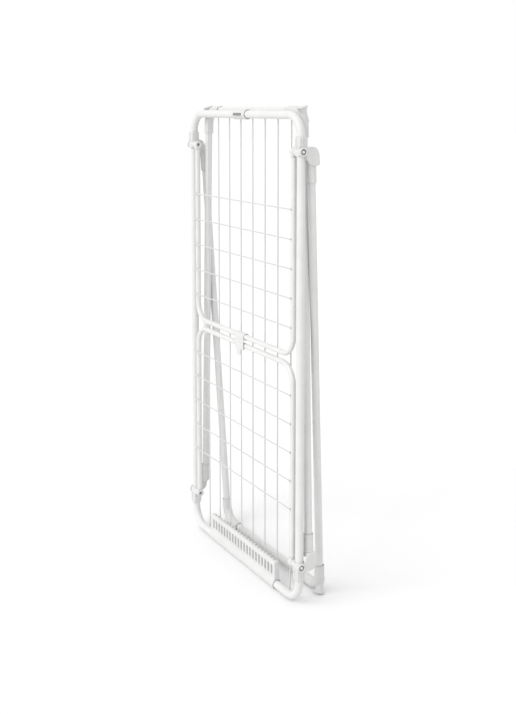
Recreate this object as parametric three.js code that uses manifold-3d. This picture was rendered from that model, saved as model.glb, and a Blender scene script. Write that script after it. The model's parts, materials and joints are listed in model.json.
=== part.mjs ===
// A folding winged clothes airer, folded flat and standing on its end.
// A rounded tube frame carries fixed deck wires. Two U-shaped wings lie inside the frame and swing out to the
// front, two tapered U-shaped legs lie behind it and swing out to the rear, and a clip holds the wings shut.
// Millimetres: x across the frame, y from front to rear, z up. The origin is under the middle of the airer.

import * as THREE from "three";
import { mergeVertices } from "three/addons/utils/BufferGeometryUtils.js";
import Module from "manifold-3d";

const wasm = await Module();
wasm.setup();

// ---- Driving dimensions -------------------------------------------------------------------------------------

const CLEARANCE = 0.3; // between pieces that touch or slide
const TUBE_WALL = 0.9;

const FRAME_HEIGHT = 1120; // outside of the end bars
const FRAME_WIDTH = 556; // outside of the side tubes
const FRAME_TUBE = 19;
const FRAME_BEND = 50; // bend radii are to the tube's centreline
const PLUG_LENGTH = 60; // inside the frame tube, across its joint
const SEAM = 0.6; // gap between the frame tube's two ends

const DECK_WIRES = 8;
const DECK_WIRE = 3.2;
const DECK_WIRE_TAIL = 6; // from the end bar's axis to the wire's end

const PIVOT_FROM_TOP = 79.5; // top bar's axis to the upper pivots
const PIVOT_FROM_BOTTOM = 86.5; // bottom bar's axis to the lower pivots
const PIVOT_FORWARD = 2.5; // the pins pass in front of the side tubes' axes
const PIN = 6;
const PIN_HEAD = 12;
const PIN_HEAD_THICKNESS = 1.5;

const COLLAR_WALL = 2; // plastic round the frame tube
const COLLAR_INWARD = 10; // from the pin towards the frame's middle
const COLLAR_OUTWARD = 33; // from the pin towards the frame's end
const COLLAR_BOSS = 17;
const COLLAR_BOSS_LENGTH = 7.5; // from the collar to the wing's eye

const WING_TUBE = 13;
const WING_WALL = 0.8;
const WING_BEND = 45;
const WING_EYE_WIDTH = 12.8;
const WING_EYE = 18;
const WING_SOCKET_WALL = 1.6;
const WING_SOCKET_END = 30; // from the pin to the socket's mouth
const WING_SOCKET_FLOOR = 12; // from the pin to the tube's end
const WING_BAR_GAP = 22; // between the axes of the two wings' end bars
const WING_RAILS = 5;
const WING_RAIL = 3.2;
const WING_RAIL_PITCH = 66;
const WING_RAIL_TAIL = 2; // past the side tube's axis

const LEG_TUBE = 18;
const LEG_BEND = 38;
const LEG_OFFSET = 29; // leg plane behind the pivot
const LEG_HINGE_INSET = 3; // side tube's axis inside the frame tube's, beside the pivot
const LEG_FOOT_INSET = 35.7; // and at the foot bar
const LEG_OPEN = 107.5; // degrees from lying along the frame
const LEG_PLAY = 0.4; // between the two legs' side tubes where they cross

const EAR = 21.6;
const EAR_THICKNESS = 2.6;
const SOCKET = 22.4;
const SOCKET_END = 70; // from the pin to the socket's mouth
const HINGE_SPACE = 1.8; // between the frame tube and the hinge behind it
const SOCKET_FLOOR = 31.5; // from the pin to the tube's end

const FOOT_WALL = 2.3;
const FOOT_UP = 58; // sleeve along the side tube, from the foot bar's axis
const FOOT_ALONG = 66; // sleeve along the foot bar, from the side tube's axis
const BELL_NECK = 17.5;
const BELL_RIM = 28;
const BELL_DROP = 10; // foot bar's axis to the middle of the rim
const BELL_ROOT = 26; // the neck starts this far above the foot bar's axis, inside the sleeve's bend

const COMB_LENGTH = 334;
const COMB_WALL = 2;
const COMB_BLADE = 13;
const COMB_HEIGHT = 55.5; // above the bar's axis
const COMB_SLOTS = 21;
const COMB_PITCH = 15.2;
const COMB_SLOT = 8.4;
const COMB_SLOT_BASE = 20;
const COMB_SLOT_TOP = 45;
const COMB_SPINE = 0.5; // the slots' open rear reaches this close behind the blade's middle
const COMB_STANCE = 10; // width of the flat underside it stands on
const COMB_GAP = [5.5, 8.5]; // the slit, behind the axis, that lets it snap over the bar
const COMB_EDGE = [2, 2.5]; // bevel along the blade's top edges

const CATCH_LEFT = 38;
const CATCH_RIGHT = 27;
const CATCH_WALL = 2.3;
const CATCH_ARM = 36; // width of the arm under the leg's foot bar
const CATCH_PAD = 0.8; // raised pad behind the badge
const CATCH_PAD_MARGIN = 4; // the pad's ends past the badge's
const BADGE_MIDDLE = -4;
const BADGE_LENGTH = 38;
const BADGE_HEIGHT = 6.6;
const BADGE_THICKNESS = 0.8;

const LOCK_LENGTH = 42;
const LOCK_WALL = 2.4;
const LOCK_TONGUE = 45; // upper bar's axis to the tongue's tip
const LOCK_TONGUE_WIDTH = 18;
const LOCK_LEAD_IN = 2.5; // slope on the hook that guides the lower bar in

// ---- What follows from them ---------------------------------------------------------------------------------

const frameRadius = FRAME_TUBE / 2;
const collarRadius = frameRadius + CLEARANCE + COLLAR_WALL;
const sideX = (FRAME_WIDTH - FRAME_TUBE) / 2;
const bottomZ = frameRadius + CLEARANCE + COMB_WALL; // the comb under the bottom bar stands on the floor
const topZ = bottomZ + FRAME_HEIGHT - FRAME_TUBE;
const upperPivotZ = topZ - PIVOT_FROM_TOP;
const lowerPivotZ = bottomZ + PIVOT_FROM_BOTTOM;
const pivotSpan = upperPivotZ - lowerPivotZ;

const wingEyeStart = collarRadius + COLLAR_BOSS_LENGTH + CLEARANCE;
const wingX = sideX - wingEyeStart - WING_EYE_WIDTH / 2;
const wingLength = (pivotSpan - WING_BAR_GAP) / 2;

const legRadius = LEG_TUBE / 2;
const openTurn = THREE.MathUtils.degToRad(LEG_OPEN);
const footTilt = openTurn - Math.PI / 2; // stands the rims flat on the floor when the legs are open
const earStart = collarRadius + CLEARANCE;
const earEnd = earStart + EAR_THICKNESS;

// Leg A lies against leg B where their side tubes cross: for two lines that both taper by `taper` and start
// pivotSpan apart, this tilt leaves one tube and its play between their axes. A leg is as long as its pivot is high.
const taper = (LEG_FOOT_INSET - LEG_HINGE_INSET) / upperPivotZ;
const legSpacing = LEG_TUBE + LEG_PLAY;
const splay = Math.atan((2 * legSpacing * taper) / Math.sqrt((pivotSpan * taper) ** 2 - legSpacing ** 2));

// Leg A's rims reach the floor at their rear edge.
const rimRearY = LEG_OFFSET - BELL_DROP * Math.sin(footTilt) + (BELL_RIM / 2) * Math.cos(footTilt);
const rimRearDrop = BELL_DROP * Math.cos(footTilt) + (BELL_RIM / 2) * Math.sin(footTilt);
const legLength = (upperPivotZ + rimRearY * Math.sin(splay)) / Math.cos(splay) - rimRearDrop;

const legX = (down) => sideX - LEG_HINGE_INSET - taper * down;
const deckWireY = frameRadius + CLEARANCE + DECK_WIRE / 2;
const deckWireXs = Array.from(
  { length: DECK_WIRES },
  (_, i) => ((2 * sideX) / (DECK_WIRES + 1)) * (i + 1) - sideX,
);

// ---- Shapes -------------------------------------------------------------------------------------------------

const at = (x, y, z) => new THREE.Vector3(x, y, z);

// A centreline of straight runs joined by round bends, with a station at the ends of every run.
class BentRun extends THREE.Curve {
  constructor(corners, bend, steps) {
    super();
    this.stations = [];
    const last = corners.length - 1;
    const direction = (i) => corners[i + 1].clone().sub(corners[i]).normalize();
    this.stations.push([corners[0], direction(0)]);
    for (let i = 1; i < last; i++) {
      const before = direction(i - 1);
      const after = direction(i);
      const turn = before.angleTo(after);
      const axis = before.clone().cross(after).normalize();
      const inward = axis.clone().cross(before).normalize();
      const start = corners[i].clone().addScaledVector(before, -bend * Math.tan(turn / 2));
      const centre = start.clone().addScaledVector(inward, bend);
      for (let k = 0; k <= steps; k++) {
        const angle = (turn * k) / steps;
        const spot = start.clone().sub(centre).applyAxisAngle(axis, angle).add(centre);
        this.stations.push([spot, before.clone().applyAxisAngle(axis, angle)]);
      }
    }
    this.stations.push([corners[last], direction(last - 1)]);
    this.steps = this.stations.length - 1;
  }

  getPointAt(t, target = new THREE.Vector3()) {
    return target.copy(this.stations[Math.round(t * this.steps)][0]);
  }

  getTangentAt(t, target = new THREE.Vector3()) {
    return target.copy(this.stations[Math.round(t * this.steps)][1]);
  }
}

function circle(radius, sides, clockwise = false) {
  const sign = clockwise ? -1 : 1;
  const turn = (i) => (sign * 2 * Math.PI * i) / sides;
  return Array.from(
    { length: sides },
    (_, i) => new THREE.Vector2(radius * Math.cos(turn(i)), radius * Math.sin(turn(i))),
  );
}

const BORE_SIDES = 8;

// A round bar along a run, or a tube where an inner radius is given.
function along(run, radius, innerRadius = 0, sides = 16) {
  const section = new THREE.Shape(circle(radius, sides));
  if (innerRadius) section.holes.push(new THREE.Path(circle(innerRadius, BORE_SIDES, true)));
  return new THREE.ExtrudeGeometry(section, { steps: run.steps, extrudePath: run });
}

function rod(radius, from, to, sides = 12) {
  const length = from.distanceTo(to);
  const direction = to.clone().sub(from).normalize();
  const turn = new THREE.Quaternion().setFromUnitVectors(at(0, 1, 0), direction);
  const middle = from.clone().add(to).multiplyScalar(0.5);
  return new THREE.CylinderGeometry(radius, radius, length, sides)
    .applyQuaternion(turn)
    .translate(middle.x, middle.y, middle.z);
}

function block(x, y, z) {
  return new THREE.BoxGeometry(x[1] - x[0], y[1] - y[0], z[1] - z[0]).translate(
    (x[0] + x[1]) / 2,
    (y[0] + y[1]) / 2,
    (z[0] + z[1]) / 2,
  );
}

// A side outline, drawn in y and z, carried from x0 to x1.
function slab(outline, x0, x1, curveSegments = 5) {
  const shape = outline instanceof THREE.Shape ? outline : new THREE.Shape(outline);
  const depth = x1 - x0;
  const sideways = new THREE.Matrix4().makeBasis(at(0, 1, 0), at(0, 0, 1), at(1, 0, 0));
  return new THREE.ExtrudeGeometry(shape, { depth, bevelEnabled: false, curveSegments })
    .applyMatrix4(sideways)
    .translate(x0, 0, 0);
}

// A profile of [radius, distance] pairs turned about a line from `from` along `direction`.
function turned(profile, from, direction, sides = 16) {
  const points = profile.map(([radius, distance]) => new THREE.Vector2(radius, distance));
  const turn = new THREE.Quaternion().setFromUnitVectors(at(0, 1, 0), direction.clone().normalize());
  return new THREE.LatheGeometry(points, sides).applyQuaternion(turn).translate(from.x, from.y, from.z);
}

function solid(geometry) {
  const bare = geometry.index ? geometry.toNonIndexed() : geometry.clone();
  bare.deleteAttribute("normal");
  bare.deleteAttribute("uv");
  const merged = mergeVertices(bare, 1e-3);
  const vertProperties = merged.attributes.position.array;
  const triVerts = new Uint32Array(merged.index.array);
  return new wasm.Manifold(new wasm.Mesh({ numProp: 3, vertProperties, triVerts }));
}

const join = (geometries) => geometries.map(solid).reduce((whole, part) => whole.add(part));
const cut = (body, geometries) => geometries.map(solid).reduce((rest, part) => rest.subtract(part), body);

function geometryOf(body) {
  const { vertProperties, triVerts } = body.getMesh();
  const geometry = new THREE.BufferGeometry();
  geometry.setAttribute("position", new THREE.BufferAttribute(vertProperties, 3));
  geometry.setIndex(new THREE.BufferAttribute(triVerts, 1));
  geometry.computeVertexNormals();
  return geometry;
}

// ---- Finishes -----------------------------------------------------------------------------------------------

const finish = (color, roughness, metalness = 0) =>
  new THREE.MeshStandardMaterial({ color, roughness, metalness });

const coatedSteel = () => finish(0xf1f1ef, 0.35);
const whitePlastic = () => finish(0xe9e9e7, 0.5);
const zincSteel = () => finish(0xb9bbbd, 0.35, 1);
const greyPlastic = () => finish(0x3c3e40, 0.5);

function piece(name, geometry, material, parent) {
  const mesh = new THREE.Mesh(geometry instanceof wasm.Manifold ? geometryOf(geometry) : geometry, material);
  mesh.name = name;
  parent.add(mesh);
  return mesh;
}

// One piece on the left and its mirror image on the right.
function pair(name, makeGeometry, makeMaterial, parent) {
  const geometry = makeGeometry();
  piece(name + "_left", geometry, makeMaterial(), parent);
  piece(name + "_right", geometry, makeMaterial(), parent).scale.x = -1;
}

// ---- Frame --------------------------------------------------------------------------------------------------

const frameRun = new BentRun(
  [
    at(SEAM / 2, 0, topZ),
    at(sideX, 0, topZ),
    at(sideX, 0, bottomZ),
    at(-sideX, 0, bottomZ),
    at(-sideX, 0, topZ),
    at(-SEAM / 2, 0, topZ),
  ],
  FRAME_BEND,
  6,
);
const frameSpace = along(frameRun, frameRadius + CLEARANCE);
const frameSeam = rod(frameRadius + CLEARANCE, at(-SEAM, 0, topZ), at(SEAM, 0, topZ), 16);

function mainFrame() {
  const tube = solid(along(frameRun, frameRadius, frameRadius - TUBE_WALL));
  const holes = [upperPivotZ, lowerPivotZ].flatMap((z) =>
    [-1, 1].map((side) =>
      rod(
        PIN / 2 + CLEARANCE,
        at(side * (sideX - FRAME_TUBE), -PIVOT_FORWARD, z),
        at(side * (sideX + FRAME_TUBE), -PIVOT_FORWARD, z),
      ),
    ),
  );
  return cut(tube, holes);
}

const jointPlug = () =>
  rod(
    (frameRadius - TUBE_WALL) * Math.cos(Math.PI / BORE_SIDES) - CLEARANCE,
    at(-PLUG_LENGTH / 2, 0, topZ),
    at(PLUG_LENGTH / 2, 0, topZ),
    10,
  );

const deckWire = (x) =>
  rod(
    DECK_WIRE / 2,
    at(x, deckWireY, bottomZ - DECK_WIRE_TAIL),
    at(x, deckWireY, topZ + DECK_WIRE_TAIL),
    8,
  );

// Notches that let a fitting on an end bar pass round the deck wires welded behind it.
const wireNotches = (barZ) =>
  deckWireXs.map((x) => {
    const half = DECK_WIRE / 2 + CLEARANCE;
    const reach = FRAME_TUBE;
    return block([x - half, x + half], [frameRadius, frameRadius + reach], [barZ - reach, barZ + reach]);
  });

// A collar on a side tube at a pivot: `outward` is 1 where the frame's end lies above it and -1 below.
function bracket(z, outward) {
  const collar = rod(
    collarRadius,
    at(-sideX, 0, z - outward * COLLAR_INWARD),
    at(-sideX, 0, z + outward * COLLAR_OUTWARD),
    18,
  );
  const boss = rod(
    COLLAR_BOSS / 2,
    at(-sideX - collarRadius, -PIVOT_FORWARD, z),
    at(-sideX + collarRadius + COLLAR_BOSS_LENGTH, -PIVOT_FORWARD, z),
    14,
  );
  const pinHole = rod(
    PIN / 2 + CLEARANCE,
    at(-sideX - FRAME_TUBE, -PIVOT_FORWARD, z),
    at(-sideX + 2 * FRAME_TUBE, -PIVOT_FORWARD, z),
  );
  return cut(join([collar, boss]), [frameSpace, pinHole]);
}

function pin(z) {
  const inside = wingEyeStart + WING_EYE_WIDTH + CLEARANCE;
  const outside = earEnd + CLEARANCE;
  const head = PIN_HEAD / 2;
  const profile = [
    [0, 0],
    [head - 1, 0],
    [head, 0.5],
    [head, PIN_HEAD_THICKNESS],
    [PIN / 2, PIN_HEAD_THICKNESS],
    [PIN / 2, PIN_HEAD_THICKNESS + outside + inside],
    [head - 1, PIN_HEAD_THICKNESS + outside + inside],
    [head - 1, PIN_HEAD_THICKNESS * 2 + outside + inside],
    [0, PIN_HEAD_THICKNESS * 2 + outside + inside],
  ];
  const from = at(-sideX - outside - PIN_HEAD_THICKNESS, -PIVOT_FORWARD, z);
  return turned(profile, from, at(1, 0, 0), 12);
}

// A holder for small items, clipped round the bottom bar between the deck wires.
function comb() {
  const skirt = frameRadius + CLEARANCE + COMB_WALL;
  const blade = COMB_BLADE / 2;
  const half = [
    [COMB_STANCE / 2, -skirt],
    [0.78 * skirt, -0.63 * skirt],
    [skirt, -0.13 * skirt],
    [0.96 * skirt, 0.34 * skirt],
    [0.72 * skirt, 0.85 * skirt],
    [blade, 1.3 * skirt],
    [blade, COMB_HEIGHT - COMB_EDGE[1]],
    [blade - COMB_EDGE[0], COMB_HEIGHT],
  ];
  const outline = [
    ...half.map(([y, z]) => new THREE.Vector2(y, bottomZ + z)),
    ...half.toReversed().map(([y, z]) => new THREE.Vector2(-y, bottomZ + z)),
  ];
  const body = slab(outline, -COMB_LENGTH / 2, COMB_LENGTH / 2);
  const slots = Array.from({ length: COMB_SLOTS }, (_, i) => {
    const x = (i - (COMB_SLOTS - 1) / 2) * COMB_PITCH;
    const sides = [x - COMB_SLOT / 2, x + COMB_SLOT / 2];
    return [
      block(sides, [-COMB_BLADE, COMB_BLADE], [bottomZ + COMB_SLOT_BASE, bottomZ + COMB_SLOT_TOP]),
      block(sides, [COMB_SPINE, COMB_BLADE], [bottomZ + COMB_SLOT_BASE, bottomZ + 2 * COMB_HEIGHT]),
    ];
  }).flat();
  const slit = block([-COMB_LENGTH, COMB_LENGTH], COMB_GAP, [bottomZ - FRAME_TUBE, bottomZ - frameRadius / 2]);
  return cut(solid(body), [frameSpace, slit, ...slots, ...wireNotches(bottomZ)]);
}

// A sleeve in the middle of the top bar whose rear arm carries the folded leg B's foot bar.
function legCatch() {
  const radius = frameRadius + CLEARANCE + CATCH_WALL;
  const legY = LEG_OFFSET - PIVOT_FORWARD;
  const legZ = lowerPivotZ + legLength;
  const armTop = legZ - legRadius - CLEARANCE;
  const armFloor = armTop - CATCH_WALL;
  const lipY = legY + legRadius + CLEARANCE;
  const sleeve = rod(radius, at(-CATCH_LEFT, 0, topZ), at(CATCH_RIGHT, 0, topZ), 18);
  const padReach = BADGE_LENGTH / 2 + CATCH_PAD_MARGIN;
  const pad = block(
    [BADGE_MIDDLE - padReach, BADGE_MIDDLE + padReach],
    [-radius - CATCH_PAD, -radius / 2],
    [topZ - BADGE_HEIGHT / 2 - CATCH_PAD, topZ + BADGE_HEIGHT / 2 + CATCH_PAD],
  );
  const arm = block([-CATCH_ARM / 2, CATCH_ARM / 2], [radius / 2, lipY + CATCH_WALL], [armFloor, armTop]);
  const lip = block(
    [-CATCH_ARM / 2, CATCH_ARM / 2],
    [lipY, lipY + CATCH_WALL],
    [armFloor, armTop + legRadius / 3],
  );
  return cut(join([sleeve, pad, arm, lip]), [frameSpace, frameSeam, ...wireNotches(topZ)]);
}

function badge() {
  const back = -(frameRadius + CLEARANCE + CATCH_WALL + CATCH_PAD) - CLEARANCE;
  return block(
    [BADGE_MIDDLE - BADGE_LENGTH / 2, BADGE_MIDDLE + BADGE_LENGTH / 2],
    [back - BADGE_THICKNESS, back],
    [topZ - BADGE_HEIGHT / 2, topZ + BADGE_HEIGHT / 2],
  );
}

// ---- Legs, drawn hanging from their pivot, which is at y = z = 0 ---------------------------------------------

const legRun = new BentRun(
  [
    at(-legX(SOCKET_FLOOR + CLEARANCE), LEG_OFFSET, -SOCKET_FLOOR - CLEARANCE),
    at(-legX(legLength), LEG_OFFSET, -legLength),
    at(legX(legLength), LEG_OFFSET, -legLength),
    at(legX(SOCKET_FLOOR + CLEARANCE), LEG_OFFSET, -SOCKET_FLOOR - CLEARANCE),
  ],
  LEG_BEND,
  6,
);

const onLeg = (down) => at(-legX(down), LEG_OFFSET, -down);

// The socket's top is cut along the plane that meets the frame tube's collar when the leg is fully open.
function legHinge() {
  const ear = EAR / 2;
  const rear = LEG_OFFSET + SOCKET / 2 + 1.8;
  const front = LEG_OFFSET - SOCKET / 2;
  const nearest = PIVOT_FORWARD + frameRadius + HINGE_SPACE;
  const lip = -SOCKET_FLOOR;
  const cheek = new THREE.Shape();
  cheek.moveTo(0.6 * ear, -0.8 * ear);
  cheek.quadraticCurveTo(1.1 * ear, -1.2 * ear, 1.2 * ear, -2 * ear);
  cheek.lineTo(nearest, lip + 3);
  cheek.lineTo(front, lip - 4);
  cheek.lineTo(rear - 6, lip - 1.5);
  cheek.lineTo(rear - 2, lip + 0.5);
  cheek.lineTo(rear, lip + 9);
  cheek.lineTo(rear, -8);
  cheek.quadraticCurveTo(rear - 1, ear, rear - 18, ear);
  cheek.lineTo(0, ear);
  cheek.absarc(0, 0, ear, Math.PI / 2, Math.PI * 1.7, false);

  const stopOffset = collarRadius + CLEARANCE + PIVOT_FORWARD;
  const stopZ = (y) => (-stopOffset + y * Math.cos(openTurn)) / Math.sin(openTurn);
  const above = 2 * SOCKET_END;
  const stopSpace = [
    [-above, above],
    [-above, stopZ(-above)],
    [above, stopZ(above)],
    [above, above],
  ].map(([y, z]) => new THREE.Vector2(y, z));

  const bridge = [
    [nearest, lip + 3],
    [front, lip - 8],
    [rear - 6, lip - 8],
    [rear - 2, lip + 0.5],
    [rear, lip + 9],
    [nearest, 0],
  ].map(([y, z]) => new THREE.Vector2(y, z));

  const outerX = -sideX - earEnd;
  const plate = solid(slab(cheek, outerX, -sideX - earStart));
  const socket = cut(
    join([slab(bridge, outerX, onLeg(SOCKET_FLOOR).x), rod(SOCKET / 2, onLeg(0), onLeg(SOCKET_END), 18)]),
    [slab(stopSpace, outerX - 1, -sideX + FRAME_TUBE * 2)],
  );
  return cut(plate.add(socket), [
    rod(legRadius + CLEARANCE, onLeg(SOCKET_FLOOR), onLeg(2 * SOCKET_END), 16),
    rod(PIN / 2 + CLEARANCE, at(outerX - 1, 0, 0), at(-sideX, 0, 0)),
  ]);
}

// A corner sleeve with a flared bell that stands on the floor.
function legFoot() {
  const corner = onLeg(legLength);
  const run = new BentRun(
    [onLeg(legLength - FOOT_UP), corner, at(corner.x + FOOT_ALONG, LEG_OFFSET, -legLength)],
    LEG_BEND,
    6,
  );
  const bellAxis = at(0, -Math.sin(footTilt), -Math.cos(footTilt));
  const neck = BELL_NECK / 2;
  const rim = BELL_RIM / 2;
  const end = BELL_ROOT + BELL_DROP;
  const bell = turned(
    [
      [0, 0],
      [neck, 0],
      [neck, BELL_ROOT - 5],
      [neck + 0.5, BELL_ROOT],
      [rim - 2, end - 4],
      [rim, end - 1.5],
      [rim, end],
      [0, end],
    ],
    corner.clone().addScaledVector(bellAxis, -BELL_ROOT),
    bellAxis,
    18,
  );
  const sleeve = along(run, legRadius + FOOT_WALL + CLEARANCE);
  return cut(join([sleeve, bell]), [along(legRun, legRadius + CLEARANCE)]);
}

function leg(letter, parent) {
  const name = "leg_" + letter;
  const group = new THREE.Group();
  piece(name + "_tube", along(legRun, legRadius, legRadius - TUBE_WALL), coatedSteel(), group);
  pair(name + "_hinge", legHinge, whitePlastic, group);
  pair(name + "_foot", legFoot, whitePlastic, group);
  parent.add(group);
  return group;
}

// ---- Wings, drawn hanging from their pivot, which is at y = z = 0 --------------------------------------------

const wingRadius = WING_TUBE / 2;
const wingRun = new BentRun(
  [
    at(-wingX, 0, -WING_SOCKET_FLOOR - CLEARANCE),
    at(-wingX, 0, -wingLength),
    at(wingX, 0, -wingLength),
    at(wingX, 0, -WING_SOCKET_FLOOR - CLEARANCE),
  ],
  WING_BEND,
  6,
);

function wingEye() {
  const half = WING_EYE_WIDTH / 2;
  const ring = rod(WING_EYE / 2, at(-wingX - half, 0, 0), at(-wingX + half, 0, 0), 16);
  const bore = wingRadius + CLEARANCE;
  const socket = rod(bore + WING_SOCKET_WALL, at(-wingX, 0, -1), at(-wingX, 0, -WING_SOCKET_END), 16);
  // The ring's width trims the round socket, so the eye stays a sliding fit between its neighbours.
  const trim = [-1, 1].map((side) =>
    block(
      side < 0 ? [-wingX - 2 * WING_EYE, -wingX - half] : [-wingX + half, -wingX + 2 * WING_EYE],
      [-WING_EYE, WING_EYE],
      [-WING_SOCKET_FLOOR, 1],
    ),
  );
  return cut(join([ring, socket]), [
    ...trim,
    rod(bore, at(-wingX, 0, -WING_SOCKET_FLOOR), at(-wingX, 0, -2 * WING_SOCKET_END), 12),
    rod(PIN / 2 + CLEARANCE, at(-wingX - WING_EYE, 0, 0), at(-wingX + WING_EYE, 0, 0)),
  ]);
}

function wing(which, parent) {
  const name = "wing_" + which;
  const group = new THREE.Group();
  piece(
    name + "_tube",
    along(wingRun, wingRadius, wingRadius - WING_WALL, 12),
    coatedSteel(),
    group,
  );
  const railY = -wingRadius - CLEARANCE - WING_RAIL / 2;
  const railX = wingX + WING_RAIL_TAIL;
  for (let i = 1; i <= WING_RAILS; i++) {
    const z = -wingLength + i * WING_RAIL_PITCH;
    const rail = rod(WING_RAIL / 2, at(-railX, railY, z), at(railX, railY, z), 8);
    piece(name + "_rail_" + i, rail, coatedSteel(), group);
  }
  pair(name + "_eye", wingEye, whitePlastic, group);
  parent.add(group);
  return group;
}

// The clip turns on the upper wing's end bar, at y = z = 0, and its front plate hooks under the lower wing's.
function lockClip() {
  const bore = wingRadius + CLEARANCE;
  const outer = bore + LOCK_WALL;
  const half = LOCK_LENGTH / 2;
  const hookZ = -WING_BAR_GAP - bore;
  const sleeve = rod(outer, at(-half, 0, 0), at(half, 0, 0), 16);
  const plate = slab(
    [
      [-outer, 0],
      [-outer, hookZ - LOCK_WALL],
      [-outer / 4, hookZ - LOCK_WALL],
      [-outer / 4, hookZ],
      [-outer / 2, hookZ],
      [-bore, hookZ + LOCK_LEAD_IN],
      [-bore, -0.6 * outer],
      [0, -0.6 * outer],
      [0, 0],
    ].map(([y, z]) => new THREE.Vector2(y, z)),
    -half,
    half,
  );
  const tongue = slab(
    [
      [-outer, -WING_BAR_GAP],
      [-outer - LOCK_WALL, -LOCK_TONGUE],
      [-outer, -LOCK_TONGUE],
      [-outer + LOCK_WALL, hookZ],
    ].map(([y, z]) => new THREE.Vector2(y, z)),
    -LOCK_TONGUE_WIDTH / 2,
    LOCK_TONGUE_WIDTH / 2,
  );
  return cut(join([sleeve, plate, tongue]), [
    rod(bore, at(-LOCK_LENGTH, 0, 0), at(LOCK_LENGTH, 0, 0), 12),
  ]);
}

// ---- The airer ----------------------------------------------------------------------------------------------

const airer = new THREE.Group();

const frame = new THREE.Group();
airer.add(frame);
piece("main_frame", mainFrame(), coatedSteel(), frame);
piece("frame_joint_plug", jointPlug(), zincSteel(), frame);
deckWireXs.forEach((x, i) => piece("deck_wire_" + (i + 1), deckWire(x), coatedSteel(), frame));
pair("upper_bracket", () => bracket(upperPivotZ, 1), whitePlastic, frame);
pair("lower_bracket", () => bracket(lowerPivotZ, -1), whitePlastic, frame);
pair("upper_pin", () => pin(upperPivotZ), zincSteel, frame);
pair("lower_pin", () => pin(lowerPivotZ), zincSteel, frame);
piece("small_item_comb", comb(), whitePlastic(), frame);
piece("leg_catch", legCatch(), whitePlastic(), frame);
piece("blank_badge", badge(), greyPlastic(), frame);

// The upper pieces hang from their pivots; the lower ones are their mirror images and stand on theirs.
const legA = leg("a", airer);
legA.position.set(0, -PIVOT_FORWARD, upperPivotZ);
legA.rotation.x = splay;

const legB = leg("b", airer);
legB.position.set(0, -PIVOT_FORWARD, lowerPivotZ);
legB.scale.z = -1;

const wingUpper = wing("upper", airer);
wingUpper.position.set(0, -PIVOT_FORWARD, upperPivotZ);

const wingLower = wing("lower", airer);
wingLower.position.set(0, -PIVOT_FORWARD, lowerPivotZ);
wingLower.scale.z = -1;

piece("lock_clip", lockClip(), whitePlastic(), wingUpper).position.z = -wingLength;

// The legs reach further behind the frame than anything does in front, so the middle of the depth is the origin.
const depth = new THREE.Box3().setFromObject(airer, true);
airer.position.y = -(depth.min.y + depth.max.y) / 2;

export default airer;
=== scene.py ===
"""Folding clothes airer: powder-coated tubes and wires, moulded joints, a peg comb and a lock clip.

Laid out as an add-on. Sizes in millimetres are this object's own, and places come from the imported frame.
"""

import json
import math

import bmesh
import bpy
import numpy as np
from mathutils import Matrix, Vector


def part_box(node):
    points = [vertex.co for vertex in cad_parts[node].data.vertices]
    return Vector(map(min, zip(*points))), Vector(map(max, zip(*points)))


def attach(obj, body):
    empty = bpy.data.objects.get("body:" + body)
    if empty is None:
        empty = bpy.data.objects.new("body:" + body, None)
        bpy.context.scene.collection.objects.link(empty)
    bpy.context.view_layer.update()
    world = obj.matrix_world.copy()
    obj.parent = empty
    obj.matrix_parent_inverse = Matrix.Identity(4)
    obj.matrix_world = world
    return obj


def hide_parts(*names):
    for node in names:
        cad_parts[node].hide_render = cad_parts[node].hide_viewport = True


bl_info = {
    "name": "Folding clothes airer",
    "version": (1, 0, 0),
    "blender": (4, 5, 0),
    "location": "3D View > Sidebar > Airer",
    "description": "Builds the tubes, wires, moulded joints and fittings of a folding clothes airer",
    "category": "Object",
}

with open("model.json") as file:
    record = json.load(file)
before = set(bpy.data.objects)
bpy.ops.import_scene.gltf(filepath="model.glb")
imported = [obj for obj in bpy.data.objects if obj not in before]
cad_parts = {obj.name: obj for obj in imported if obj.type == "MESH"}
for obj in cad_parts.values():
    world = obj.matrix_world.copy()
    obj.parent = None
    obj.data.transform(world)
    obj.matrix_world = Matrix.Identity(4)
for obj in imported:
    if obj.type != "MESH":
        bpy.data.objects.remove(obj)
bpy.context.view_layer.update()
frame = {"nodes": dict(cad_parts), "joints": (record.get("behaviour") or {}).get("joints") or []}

MM = 0.001

# The tubes' own sizes, in millimetres.
FRAME_RADIUS = 9.5
LEG_RADIUS = 9.0
LEG_BEND = 38

JOINTS = {joint["name"]: joint for joint in frame["joints"]}


def pivot_of(name):
    return Vector(JOINTS[name]["pos_m"])


UPPER = pivot_of("wing_upper_hinge")
LOWER = pivot_of("wing_lower_hinge")
CLIP_PIVOT = pivot_of("lock_clip_turn")
# The legs open to the same angle from the frame; leg A starts out already leaning by the difference.
LEAN = math.radians(JOINTS["leg_b_hinge"]["range_deg"][1] - JOINTS["leg_a_hinge"]["range_deg"][1])

FRAME_LOW, FRAME_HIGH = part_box("main_frame")
SIDES = {"left": 1, "right": -1}
MIRROR_X = Matrix.Diagonal((-1, 1, 1, 1))
MIRROR_Z = Matrix.Diagonal((1, 1, -1, 1))


# ---- Settings ------------------------------------------------------------------------------------


def length_setting(name, description, millimetres):
    return bpy.props.FloatProperty(
        name=name, description=description, default=millimetres * MM, unit="LENGTH"
    )


def colour_setting(name, description, default):
    return bpy.props.FloatVectorProperty(
        name=name, description=description, subtype="COLOR", size=3, default=default, min=0, max=1
    )


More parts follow.
